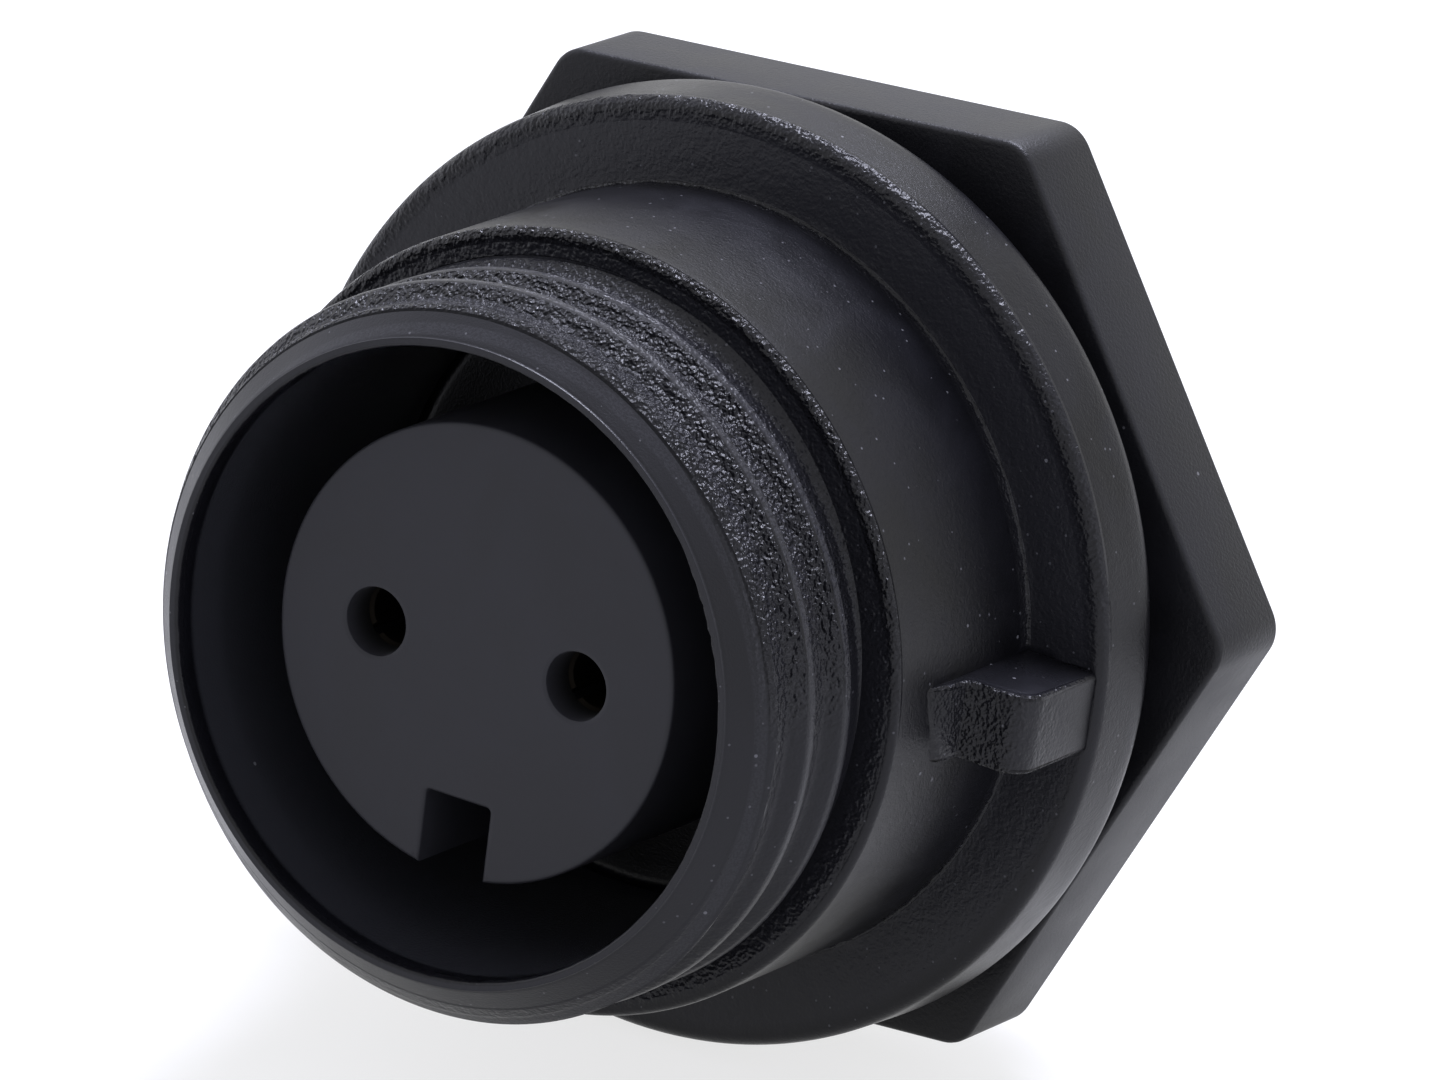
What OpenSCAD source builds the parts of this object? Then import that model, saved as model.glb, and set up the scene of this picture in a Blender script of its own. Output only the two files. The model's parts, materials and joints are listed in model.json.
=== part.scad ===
// Panel-mount circular connector with two socket contacts.
// The axis is drawn along z with the mating end up, then laid over so that the mating end faces -Y.
// Heights are counted from the back of the flange, where the panel sits.

/* [Flange] */
// Diameter of the round flange that covers the panel hole
flange_d = 25.2; // [24:0.1:28]
// Thickness of the flange
flange_t = 2.6; // [2:0.1:3]
// Radius of the flange's front edge
flange_edge_r = 0.5; // [0.2:0.1:0.8]
// Radius of the flange's back edge
flange_back_r = 0.7; // [0.2:0.1:1]

/* [Collar] */
// Diameter of the plain collar in front of the flange
collar_d = 20.5; // [19.8:0.1:21.4]
// Height of the collar's front edge
collar_top = 8.8; // [8:0.1:9.2]
// Radius of the collar's front edge
collar_edge_r = 0.5; // [0.2:0.1:0.8]

/* [Locating lug] */
// Width of the lug that stands on the flange against the collar
lug_w = 2.15; // [1.2:0.05:3]
// How far the lug stands out from the collar
lug_reach = 1.95; // [1.2:0.05:1.95]
// Height of the lug's front face
lug_top = 5.8; // [4.5:0.1:7.5]
// Radius of the lug's outer front edge
lug_edge_r = 0.7; // [0.2:0.1:1]
// Turn of the lug below the line of the contacts
lug_turn = 1.3; // [0:0.1:6]

/* [Coupling barrel] */
// Outside diameter of the coupling thread
coupling_d = 19.0; // [18.6:0.1:19.4]
// Diameter of the relief groove behind the coupling thread
relief_d = 18.1; // [17.5:0.1:18.3]
// Width of the relief groove along the axis
relief_w = 0.8; // [0.5:0.1:1.2]
// Height of the front rim
rim_top = 13.9; // [13.2:0.1:15]
// Width of the flat on the front rim
rim_w = 0.45; // [0.3:0.05:0.6]
// Length of the tapered lead-in behind the rim
lead_in = 1.05; // [0.8:0.05:1.6]

/* [Mating cavity] */
// Inside diameter of the coupling barrel
cavity_d = 16.3; // [15.8:0.1:16.5]
// Height of the cavity floor
cavity_floor = 3.8; // [3.4:0.1:4.6]
// Thickness of the web that carries the insert
web_t = 1.6; // [1.2:0.1:2]

/* [Rear barrel] */
// Outside diameter of the rear thread that passes through the panel
rear_d = 18.0; // [17.6:0.1:18.4]
// Length of the rear barrel behind the flange
rear_len = 8.2; // [7:0.1:9]
// Distance from ridge to ridge of the rear thread
rear_pitch = 1.0; // [0.75:0.25:1.5]
// Depth of the rear thread's grooves as a share of the barrel's wall
rear_depth = 0.25; // [0.15:0.05:0.35]
// Plain length of the rear barrel next to the flange
rear_land = 0.75; // [0.5:0.05:1]
// Bore of the rear barrel
rear_bore_d = 14.4; // [14:0.1:14.6]
// Chamfer at the open end of the rear thread
rear_chamfer = 0.6; // [0.3:0.1:0.8]

/* [Insert] */
// Diameter of the insert's nose
insert_d = 11.9; // [11.4:0.1:12.2]
// How far the insert's face lies behind the rim
insert_recess = 1.45; // [0.5:0.05:3]
// Thickness of the insert's seating flange
insert_flange_t = 2.8; // [2:0.1:3.2]
// Length of the boss behind the seating flange
boss_len = 2.6; // [1.5:0.1:3.5]
// Diameter of the boss behind the seating flange
boss_d = 11.0; // [10.4:0.1:11.6]
// Width of the keyway at the bottom of the nose
key_w = 1.95; // [1.2:0.05:2.6]
// Distance from the axis to the keyway's floor
key_floor = 3.9; // [3.2:0.1:4.8]

/* [Contacts] */
// Distance between the two contact axes
contact_pitch = 6.1; // [5.6:0.1:6.4]
// Bore of a socket contact
socket_d = 1.6; // [1.2:0.05:1.7]
// Depth of the socket bore
socket_depth = 6.0; // [4:0.5:7]
// Outside diameter of a contact
contact_d = 2.5; // [2.3:0.1:2.7]
// Diameter of the shoulder that is pressed into the insert
shoulder_d = 3.3; // [3:0.1:3.6]
// Length of the pressed shoulder
shoulder_len = 3.0; // [2:0.1:4]
// Thickness of the insert's face in front of a contact
face_t = 1.0; // [0.6:0.1:1.6]
// Width of the slot between the spring tines
tine_slot = 0.3; // [0.2:0.05:0.4]
// Length of the slot between the spring tines
tine_len = 4.0; // [2:0.5:5]
// How far a solder cup stands out behind the rear barrel
cup_reach = 3.0; // [1:0.5:5]
// Bore of a solder cup
cup_d = 1.7; // [1.4:0.1:1.8]
// Depth of a solder cup
cup_depth = 3.6; // [2:0.2:4]

/* [Retaining ring and seals] */
// Wire thickness of the insert seal before it is squeezed
seal_d = 1.2; // [1:0.05:1.3]
// How much the insert seal is squeezed between its seats
seal_squeeze = 0.1; // [0.05:0.05:0.2]
// Thickness of the split retaining ring
ring_t = 0.8; // [0.5:0.1:1.1]
// Radial width of the split retaining ring
ring_w = 1.2; // [1:0.1:1.4]
// How deep the ring sits in the groove of the rear bore
ring_bite = 0.5; // [0.3:0.05:0.6]
// Gap between the ends of the retaining ring
ring_gap = 4.5; // [3:0.5:7]
// Radial width of the panel gasket
gasket_w = 2.1; // [1.2:0.1:2.4]
// Thickness of the panel gasket
gasket_t = 0.85; // [0.4:0.05:1.2]

/* [Panel nut] */
// How far the nut's flats lie inside the flange's edge
nut_inset = 0.6; // [0:0.1:1]
// Thickness of the nut
nut_t = 2.95; // [2:0.05:4]
// Turn of the nut's first corner above the lug side
nut_turn = 3.9; // [0:0.1:59]

/* [Fits] */
// Gap all round where one piece passes inside another
slip = 0.15; // [0.1:0.05:0.2]
// Gap all round between the rear thread and what runs on it
thread_gap = 0.2; // [0.15:0.05:0.3]
// Gap between the flange, the panel gasket and the nut
face_gap = 0.05; // [0.03:0.01:0.1]

/* [Hidden] */
$fn = 96;
// Length by which a cutter runs past the face that it cuts
over = 1;
thread_back = collar_top + relief_w;
rear_wall = (rear_d - rear_bore_d) / 2;
rear_grooves = floor((rear_len - rear_chamfer - rear_land) / rear_pitch);
rim_d = cavity_d + 2 * rim_w;
web_back = cavity_floor - web_t;
seal_h = seal_d - seal_squeeze;
insert_seat = web_back - seal_h;
insert_flange_back = insert_seat - insert_flange_t;
insert_back = insert_flange_back - boss_len;
insert_face = rim_top - insert_recess;
insert_flange_d = rear_bore_d - 2 * slip;
pin_hole_d = socket_d + slip;
contact_top = insert_face - face_t;
shoulder_top = insert_back + shoulder_len;
cup_end = -rear_len - cup_reach;
groove_d = rear_bore_d + 2 * ring_bite;
ring_d = groove_d - slip;
gasket_top = -face_gap;
nut_top = gasket_top - gasket_t - face_gap;
nut_af = flange_d - 2 * nut_inset;
nut_bore_d = rear_d + 2 * thread_gap;
gasket_d = nut_bore_d + 2 * gasket_w;
shell_black = [0.085, 0.088, 0.1];
insert_black = [0.13, 0.13, 0.145];
rubber_black = [0.05, 0.05, 0.055];
gold = [0.83, 0.66, 0.3];
steel = [0.66, 0.67, 0.69];

// Half section of a plain round piece, with the radius across and the height up
module band(inner_d, outer_d, bottom, top) {
    translate([inner_d / 2, bottom])
        square([(outer_d - inner_d) / 2, top - bottom]);
}

// Sliver outside the arc that rounds a corner, with the corner at the origin
module round_off(radius) {
    translate([-radius, -radius])
        difference() {
            square(radius + over);
            circle(radius);
        }
}

// Sliver outside a straight bevel, with the corner at the origin
module bevel_off(across, along) {
    polygon([[-across, 0], [-across, over], [over, over], [over, -along], [0, -along]]);
}

// Section of one thread groove, with the middle of its mouth at the origin
module thread_groove(pitch, depth) {
    mouth = 0.6 * pitch;
    root = 0.1 * pitch;
    polygon([[over, mouth / 2], [0, mouth / 2], [-depth, root / 2],
             [-depth, -root / 2], [0, -mouth / 2], [over, -mouth / 2]]);
}

// Lays the upright axis over so that the mating end faces -Y
module laid_over() {
    rotate([90, 0, 0])
        children();
}

// Outline of the moulded shell before its hollows are taken out
module shell_outline() {
    difference() {
        union() {
            band(0, rear_d, -rear_len, 0);
            band(0, flange_d, 0, flange_t);
            band(0, collar_d, flange_t, collar_top);
            band(0, relief_d, collar_top, thread_back);
            band(0, coupling_d, thread_back, rim_top);
        }
        translate([flange_d / 2, flange_t])
            round_off(flange_edge_r);
        translate([flange_d / 2, 0])
            mirror([0, 1])
                round_off(flange_back_r);
        translate([collar_d / 2, collar_top])
            round_off(collar_edge_r);
        translate([coupling_d / 2, rim_top])
            bevel_off((coupling_d - rim_d) / 2, lead_in);
        translate([rear_d / 2, -rear_len])
            mirror([0, 1])
                bevel_off(rear_chamfer, rear_chamfer);
        for (i = [1:rear_grooves])
            translate([rear_d / 2, -rear_land - (i - 0.5) * rear_pitch])
                thread_groove(rear_pitch, rear_depth * rear_wall);
    }
}

// Mating cavity, insert passage, rear bore and ring groove of the shell
module shell_hollows() {
    band(0, cavity_d, cavity_floor, rim_top + over);
    band(0, insert_d + 2 * slip, web_back - over, cavity_floor + over);
    band(0, rear_bore_d, -rear_len - over, web_back);
    band(0, groove_d, insert_flange_back - ring_t - face_gap, insert_flange_back);
}

// Block on the flange that stops the mating plug's ring
module lug() {
    bottom = flange_t - flange_edge_r;
    inner = cavity_d / 2 + rim_w;
    outer = collar_d / 2 + lug_reach;
    rotate(-lug_turn)
        translate([0, lug_w / 2, 0])
            rotate([90, 0, 0])
                linear_extrude(lug_w)
                    difference() {
                        translate([inner, bottom])
                            square([outer - inner, lug_top - bottom]);
                        translate([outer, lug_top])
                            round_off(lug_edge_r);
                    }
}

// One moulding: coupling barrel, collar, flange, lug and rear barrel
module shell() {
    color(shell_black)
        laid_over()
            difference() {
                union() {
                    rotate_extrude()
                        shell_outline();
                    lug();
                }
                rotate_extrude()
                    shell_hollows();
            }
}

// Stepped way through the insert for one contact
module contact_way() {
    rotate_extrude() {
        band(0, pin_hole_d, contact_top - over, insert_face + over);
        band(0, contact_d + 2 * slip, shoulder_top - over, contact_top);
        band(0, shoulder_d, insert_back - over, shoulder_top);
    }
}

// Insulator that carries the contacts, with the keyway at the bottom of its nose
module contact_insert() {
    key_len = insert_face - cavity_floor;
    color(insert_black)
        laid_over()
            difference() {
                rotate_extrude() {
                    band(0, insert_d, insert_seat, insert_face);
                    band(0, insert_flange_d, insert_flange_back, insert_seat);
                    band(0, boss_d, insert_back, insert_flange_back);
                }
                translate([-key_w / 2, -key_floor - insert_d, cavity_floor])
                    cube([key_w, insert_d, key_len + over]);
                for (side = [-1, 1])
                    translate([side * contact_pitch / 2, 0, 0])
                        contact_way();
            }
}

// Turned socket contact with split tines in front and a scooped solder cup behind
module socket_contact() {
    scoop_len = 0.7 * cup_depth;
    difference() {
        rotate_extrude()
            difference() {
                union() {
                    band(0, contact_d, cup_end, contact_top);
                    band(0, shoulder_d, insert_back, shoulder_top);
                }
                band(0, socket_d, contact_top - socket_depth, contact_top + over);
                band(0, cup_d, cup_end - over, cup_end + cup_depth);
            }
        rotate(45)
            translate([-contact_d, -tine_slot / 2, contact_top - tine_len])
                cube([2 * contact_d, tine_slot, tine_len + over]);
        translate([-contact_d, 0, cup_end - over])
            cube([2 * contact_d, contact_d, scoop_len + over]);
    }
}

module contact_left() {
    color(gold)
        laid_over()
            translate([-contact_pitch / 2, 0, 0])
                socket_contact();
}

module contact_right() {
    color(gold)
        laid_over()
            translate([contact_pitch / 2, 0, 0])
                socket_contact();
}

// Round seal squeezed flat between the web and the insert's seating flange
module insert_seal() {
    seal_r = (insert_d + rear_bore_d) / 4;
    color(rubber_black)
        laid_over()
            rotate_extrude()
                intersection() {
                    translate([seal_r, insert_seat + seal_h / 2])
                        circle(seal_d / 2);
                    band(insert_d, rear_bore_d, insert_seat, web_back);
                }
}

// Split spring ring in the groove behind the insert's seating flange
module retaining_ring() {
    color(steel)
        laid_over()
            difference() {
                rotate_extrude()
                    band(ring_d - 2 * ring_w, ring_d, insert_flange_back - ring_t, insert_flange_back);
                translate([-ring_gap / 2, -groove_d, insert_flange_back - ring_t - over])
                    cube([ring_gap, groove_d, ring_t + 2 * over]);
            }
}

// Flat gasket between the flange and the panel
module panel_gasket() {
    color(rubber_black)
        laid_over()
            rotate_extrude()
                band(nut_bore_d, gasket_d, gasket_top - gasket_t, gasket_top);
}

// Hexagonal nut that runs on the rear thread
module hex_nut() {
    color(shell_black)
        laid_over()
            difference() {
                translate([0, 0, nut_top - nut_t])
                    rotate(nut_turn)
                        cylinder(d = nut_af / cos(30), h = nut_t, $fn = 6);
                translate([0, 0, nut_top - nut_t - over])
                    cylinder(d = nut_bore_d, h = nut_t + 2 * over);
            }
}

shell();
contact_insert();
contact_left();
contact_right();
insert_seal();
retaining_ring();
panel_gasket();
hex_nut();
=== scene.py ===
"""Panel-mount circular connector: the pieces that show, built on the CAD frame."""

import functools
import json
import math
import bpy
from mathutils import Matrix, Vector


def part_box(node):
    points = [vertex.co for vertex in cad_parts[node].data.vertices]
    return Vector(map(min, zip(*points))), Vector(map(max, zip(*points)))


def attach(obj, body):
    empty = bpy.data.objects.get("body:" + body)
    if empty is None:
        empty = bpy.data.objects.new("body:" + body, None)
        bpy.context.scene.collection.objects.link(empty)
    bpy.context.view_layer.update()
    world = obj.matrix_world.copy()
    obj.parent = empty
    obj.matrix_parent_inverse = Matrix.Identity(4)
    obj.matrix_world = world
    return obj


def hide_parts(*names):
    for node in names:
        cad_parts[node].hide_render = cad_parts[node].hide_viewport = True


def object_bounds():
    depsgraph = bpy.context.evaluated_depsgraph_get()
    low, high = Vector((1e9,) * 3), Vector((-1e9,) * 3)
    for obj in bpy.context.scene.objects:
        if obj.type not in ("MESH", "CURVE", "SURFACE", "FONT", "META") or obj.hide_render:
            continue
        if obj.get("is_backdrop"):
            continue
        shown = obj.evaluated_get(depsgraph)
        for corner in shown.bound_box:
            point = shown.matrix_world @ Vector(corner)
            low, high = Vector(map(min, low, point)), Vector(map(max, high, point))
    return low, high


bl_info = {
    "name": "Panel-mount circular connector",
    "version": (1, 0, 0),
    "blender": (4, 5, 0),
    "location": "View3D > Sidebar > Connector",
    "description": "Shell, keyed insert, socket contacts, seals, retaining ring and panel nut of a connector",
    "category": "Add Mesh",
}

import bmesh
import bpy
from mathutils import Matrix, Vector, kdtree, noise

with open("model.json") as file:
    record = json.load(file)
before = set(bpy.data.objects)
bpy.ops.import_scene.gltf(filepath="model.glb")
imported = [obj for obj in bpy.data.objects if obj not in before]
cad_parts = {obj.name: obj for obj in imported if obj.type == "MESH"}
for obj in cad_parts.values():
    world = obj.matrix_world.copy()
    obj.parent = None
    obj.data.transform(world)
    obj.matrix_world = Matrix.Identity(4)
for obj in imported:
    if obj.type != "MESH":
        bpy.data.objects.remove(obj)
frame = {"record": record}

MM = 0.001
TURN = 2 * math.pi
QUARTER = TURN / 4

# A hair's breadth, for edges that must not fall together
HAIR = 0.01 * MM

# Points around the shell, the turned rings, the insert's nose, and the pin ways and contacts
SHELL_POINTS = 256
RING_POINTS = 192
NOSE_POINTS = 192
HOLE_POINTS = 64

# Edges that turn by more than this many degrees stay sharp in the shading
SHARP_DEGREES = 38

# The two pin sockets of the CAD record, from left to right
MOUNTS = {mount["name"]: mount for mount in frame["record"]["mounts"]}
SOCKETS = [MOUNTS["pin_socket_left"], MOUNTS["pin_socket_right"]]

# Zone of the shell's surface: depth of the spark-eroded texture, gloss (at its top it also paints fill light
# into the cavity's tone), share of the paler tone (painted fill light)
ZONES = {
    "rear_thread": (0.05, 0.0, 0.2),
    "rim": (0.02, 0.0, 1.0),
    "rim_edge": (0.05, 0.1, 0.3),
    "flange_side": (0.03, 0.0, 0.0),
    "flange_edge": (0.35, 0.0, 0.4),
    "flange_front": (0.08, 0.0, 1.0),
    "foot": (0.25, 0.2, 0.4),
    "collar": (0.035, 0.0, 0.0),
    "collar_edge": (0.8, 0.0, 0.3),
    "collar_front": (0.3, 0.0, 0.7),
    "thread": (1.25, 0.0, 0.8),
    "lead_in": (0.0, 0.0, 0.7),
    "cavity": (0.0, 1.0, 0.0),
    "cavity_floor": (0.0, 0.7, 0.0),
    "bore": (0.02, 0.5, 0.0),
}

# The low step in front of the lug: mm out from the collar, mm above the lug, depth of the texture
LUG_STEP = ((0.34, 0.02, 0.7), (0.22, 0.12, 0.6), (0.16, 0.75, 0.3), (-0.08, 0.9, 0.1))

# Tones of the shell's black plastic, and of the light painted onto it
SHELL_DARK = (0.004, 0.004, 0.005, 1)
SHELL_LIGHT = (0.006, 0.006, 0.008, 1)
SHELL_PITTED = (0.003, 0.003, 0.004, 1)
# Painted fill light: a paler tone that each zone mixes in by its share
SHELL_PAINTED_FILL = (0.020, 0.020, 0.023, 1)
# Painted highlight along the thread's crests
SHELL_CREST_HIGHLIGHT = (0.045, 0.045, 0.050, 1)
# Painted glints, as pale specks
SHELL_PAINTED_GLINT = (0.090, 0.090, 0.095, 1)
# Painted fill light on the cavity's wall
CAVITY_PAINTED_FILL = (0.045, 0.046, 0.050, 1)

# Tones of the other pieces, each from dark to light
INSERT_TONES = ((0.025, 0.025, 0.028, 1), (0.029, 0.029, 0.033, 1))
NUT_TONES = ((0.008, 0.008, 0.009, 1), (0.011, 0.011, 0.013, 1))
RUBBER_TONES = ((0.012, 0.012, 0.013, 1), (0.026, 0.026, 0.028, 1))
GOLD_TONES = ((0.80, 0.60, 0.24, 1), (0.88, 0.71, 0.36, 1))
STEEL_TONES = ((0.52, 0.53, 0.55, 1), (0.64, 0.65, 0.67, 1))

# Tones that lie over them: painted shade at the contacts' mouths and in the pin holes, and dust; and the
# sheen of the plastics
MOUTH_PAINTED_SHADE = (0.014, 0.012, 0.010, 1)
HOLE_PAINTED_SHADE = (0.001, 0.001, 0.001, 1)
DUST = (0.30, 0.30, 0.31, 1)
PLASTIC_SHEEN = 0.21

# Colours of the studio: the light is slightly blue, the backdrop is white
COOL = (0.93, 0.95, 1.15)
WHITE = (1, 1, 1, 1)
FLOOR_GREY = (0.22, 0.22, 0.22, 1)

# Kinds of node sockets
NUMBER = "NodeSocketFloat"
SHAPE = "NodeSocketGeometry"


def length(label, about, mm):
    """A length property whose default is given in millimetres."""
    return bpy.props.FloatProperty(
        name=label, description=about, default=mm * MM, precision=5, unit="LENGTH", subtype="DISTANCE"
    )


def angle(label, about, degrees):
    """An angle property whose default is given in degrees."""
    return bpy.props.FloatProperty(
        name=label, description=about, default=math.radians(degrees), unit="ROTATION", subtype="ANGLE"
    )


def amount(label, about, value):
    """A property that is a plain number."""
    return bpy.props.FloatProperty(name=label, description=about, default=value)


class ShellSizes(bpy.types.PropertyGroup):
    """Sizes of the moulded shell that the frame doesn't give."""

    crest: length("Coupling crest", "Outside radius of the coupling thread", 9.5)
    depth: length("Coupling depth", "Depth of the coupling thread", 0.42)
    pitch: length("Coupling pitch", "Distance from crest to crest of the coupling thread", 1.65)
    phase: length("Coupling phase", "Height of a crest on the lug side", 9.9)
    collar: length("Collar radius", "Outside radius of the plain collar", 10.25)
    collar_top: length("Collar front", "Height of the collar's front face", 8.8)
    collar_edge: length("Collar edge", "Rounding of the collar's front edge", 0.22)
    collar_fall: length("Collar fall", "Fall of the collar's front face towards the thread", 0.06)
    flange_top: length("Flange front", "Height of the flange's front face", 2.6)
    flange_edge: length("Flange front edge", "Rounding of the flange's front edge", 0.34)
    flange_back: length("Flange back edge", "Rounding of the flange's back edge", 0.7)
    flange_draft: length("Flange draft", "Lean of the flange's side towards the front", 0.08)
    foot: length("Foot", "Rounding between the flange and the collar", 0.09)
    rim: length("Rim radius", "Outside radius of the flat rim", 8.40)
    rim_edge: length("Rim edge", "Fall of the rim at its outer edge", 0.06)
    rim_flat: length("Rim flat", "Distance from the cavity to the rim's outer edge", 0.22)
    lead_in: length("Lead-in", "Length of the cone in front of the thread", 1.15)
    cavity: length("Cavity radius", "Radius of the mating cavity", 8.15)
    mouth: length("Cavity mouth", "Rounding of the cavity's mouth", 0.1)
    floor: length("Cavity floor", "Height of the cavity's floor", 3.8)
    corner: length("Cavity corner", "Rounding between the cavity's wall and its floor", 0.3)
    web: length("Web thickness", "Thickness of the web under the floor", 1.6)
    passage: length("Passage radius", "Radius of the hole in the web", 6.1)
    bore: length("Rear bore", "Radius of the rear bore", 7.2)
    bore_edge: length("Bore edge", "Chamfer at the rear bore's end", 0.3)
    groove: length("Ring groove", "Radius of the groove for the retaining ring", 7.7)
    groove_play: length("Groove play", "Room behind the ring in its groove", 0.05)


class LugSizes(bpy.types.PropertyGroup):
    """Sizes of the locating lug on the flange."""

    width: length("Width", "Width of the locating lug", 2.15)
    reach: length("Reach", "Distance from the axis to the lug's outer face", 12.28)
    top: length("Front", "Height of the lug's front face", 5.8)
    turn: angle("Turn", "Turn of the lug below the line of contacts", 1.3)
    root: length("Root", "Distance from the cavity to the lug's hidden root", 0.7)
    sunk: length("Sunk", "How far the lug is sunk into the flange", 0.8)
    nose: length("Nose", "Rounding of the lug's outer front edge", 0.7)
    edge: length("Edge", "Rounding of the lug's side edges", 0.16)
    step: length("Step", "Height of the low step in front of the lug", 0.95)
    slant: length("Slant", "Rise of the step's front from one side of the lug to the other", 0.9)


class ScrewSizes(bpy.types.PropertyGroup):
    """The right-handed thread that the shell's rear barrel and the nut share."""

    crest: length("Crest", "Outside radius of the rear thread", 9.0)
    depth: length("Depth", "Depth of the rear thread", 0.5)
    pitch: length("Pitch", "Distance that the nut travels in one turn", 1.0)
    land: length("Land", "Length of the plain land behind the flange", 0.75)
    edge: length("Edge", "Chamfer at the rear thread's end", 0.6)
    play: length("Play", "Radial gap between the two threads", 0.15)


class InsertSizes(bpy.types.PropertyGroup):
    """Sizes of the insert that the frame doesn't give."""

    nose: length("Nose radius", "Radius of the insert's nose", 5.95)
    seat: length("Seat", "Height of the seating flange's front", 1.1)
    back: length("Flange back", "Height of the seating flange's back", -1.7)
    boss: length("Boss radius", "Radius of the rear boss", 5.5)
    boss_edge: length("Boss edge", "Chamfer at the rear boss's end", 0.15)
    edge: length("Edge", "Rounding of the insert's other edges", 0.1)
    key_width: length("Key width", "Width of the keyway", 1.95)
    key_floor: length("Key floor", "Distance from the axis to the keyway's floor", 3.9)
    key_corner: length("Key corner", "Rounding at the keyway's floor", 0.12)
    key_end: length("Key end", "Height at which the keyway ends", 3.8)
    hole: length("Pin hole", "Radius of the pin holes in the face", 0.875)
    face: length("Face thickness", "Thickness of the wall in front of the contacts", 1.0)
    way: length("Contact way", "Radius of the ways around the contacts", 1.4)
    step: length("Way step", "Height at which the ways widen for the shoulders", -1.3)


class ContactSizes(bpy.types.PropertyGroup):
    """Sizes of the turned contacts that the frame doesn't give."""

    barrel: length("Barrel", "Radius of the contact", 1.25)
    edge: length("Edge", "Rounding of the contact's edges", 0.09)
    lead_in: length("Lead-in", "Chamfer at the socket's mouth", 0.12)
    drill_tip: length("Drill tip", "Depth of the cone at the socket's end", 0.3)
    shoulder: length("Shoulder", "Radius of the pressed shoulder", 1.65)
    shoulder_length: length("Shoulder length", "Length of the pressed shoulder", 3.0)
    slot: length("Slot", "Width of the slot between the tines", 0.3)
    tine: length("Tine length", "Length of the split tines", 4.0)
    cup: length("Cup radius", "Radius of the solder cup", 0.85)
    cup_depth: length("Cup depth", "Depth of the solder cup", 3.6)
    cup_edge: length("Cup edge", "Chamfer at the solder cup's mouth", 0.06)
    cup_tip: length("Cup tip", "Depth of the cone at the solder cup's end", 0.25)
    scoop: length("Scoop", "Rounding at the end of the cup's open side", 0.6)


class RingSizes(bpy.types.PropertyGroup):
    """Sizes of the retaining ring, the gasket and the seal that the frame doesn't give."""

    width: length("Ring width", "Radial width of the retaining ring", 1.2)
    gap: length("Ring gap", "Width of the gap in the ring", 4.5)
    corner: length("Ring corner", "Rounding of the ring's edges", 0.14)
    gasket_bore: length("Gasket bore", "Inside radius of the panel gasket", 9.2)
    gasket_edge: length("Gasket edge", "Rounding of the gasket's edges", 0.12)
    seal_play: length("Seal play", "Gap between the insert's nose and the seal", 0.02)


class NutSizes(bpy.types.PropertyGroup):
    """Sizes of the panel nut that the frame doesn't give."""

    flats: length("Across flats", "Distance across the nut's flats", 24.24)
    turn: angle("Nut turn", "Turn of the first corner above the lug side", 3.9)
    corner: length("Corner", "Rounding of the six corners", 1.0)
    edge: length("Edge", "Rounding of the nut's edges", 0.16)
    mouth: length("Mouth", "Depth of the countersink at the thread's ends", 0.35)


class StageSettings(bpy.types.PropertyGroup):
    """Where the camera stands and how bright the studio is."""

    azimuth: angle("Azimuth", "Turn of the camera to the right of the front", 30.823)
    elevation: angle("Elevation", "Height of the camera above the horizon", 18.062)
    roll: angle("Roll", "Tilt of the camera about its own line of sight", 7.107)
    distance: length("Distance", "Distance from the camera to the point it looks at", 335.1)
    lens: amount("Lens", "Focal length on a 36 mm sensor", 322.975)
    sky: amount("Sky", "Brightness of the white surroundings", 0.58)
    glow: amount("Glow", "Brightness of the floor itself", 0.74)
    key: amount("Key", "Power of the soft light above, in watts", 4.0)
    side: amount("Side", "Power of the soft lights beside, in watts", 0.3)


def smooth(low, high, value):
    """A soft step from 0 at low to 1 at high."""
    t = min(max((value - low) / (high - low), 0.0), 1.0)
    return t * t * (3 - 2 * t)


def quarter(steps):
    """A quarter round of radius 1, as pairs: how far it has come to the side, what is left ahead."""
    turns = [QUARTER * i / steps for i in range(steps + 1)]
    return [(1 - math.cos(a), 1 - math.sin(a)) for a in turns]


def extent(node):
    """Front height, back height and outside radius of a CAD node."""
    low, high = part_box(node)
    return -low.y, -high.y, high.z


def point(radius, turn, height):
    """A point of the row frame: the turn starts on the lug side, the height runs to the mating end."""
    return Vector((radius * math.cos(turn), -height, radius * math.sin(turn)))


class Outline:
    """Half section of a turned piece, as rows of (radius, height, zone)."""

    def __init__(self, radius, height, zone=""):
        self.rows = [(radius, height, zone)]

    def to(self, radius, height, zone="", steps=1):
        """Straight on to a point, in a number of steps."""
        r0, h0, _ = self.rows[-1]
        for i in range(1, steps + 1):
            t = i / steps
            self.rows.append((r0 + (radius - r0) * t, h0 + (height - h0) * t, zone))

    def round(self, radius, height, zone="", steps=4):
        """A quarter round to a point, setting off in the direction of the last step."""
        (ra, ha, _), (r0, h0, _) = self.rows[-2:]
        upright = abs(h0 - ha) > abs(r0 - ra)
        for gone, left in quarter(steps)[1:]:
            u, v = (gone, 1 - left) if upright else (1 - left, gone)
            self.rows.append((r0 + (radius - r0) * u, h0 + (height - h0) * v, zone))


def loop(bm, points):
    """New vertices for a list of points."""
    return [bm.verts.new(p) for p in points]


def circle(bm, radius, height, count):
    """New vertices on a circle around the axis."""
    return loop(bm, [point(radius, TURN * i / count, height) for i in range(count)])


def bridge(bm, loops):
    """Faces between loops of the same number of points, one after another."""
    for one, two in zip(loops, loops[1:]):
        for i in range(len(one)):
            j = (i + 1) % len(one)
            bm.faces.new((one[i], one[j], two[j], two[i]))


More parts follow.
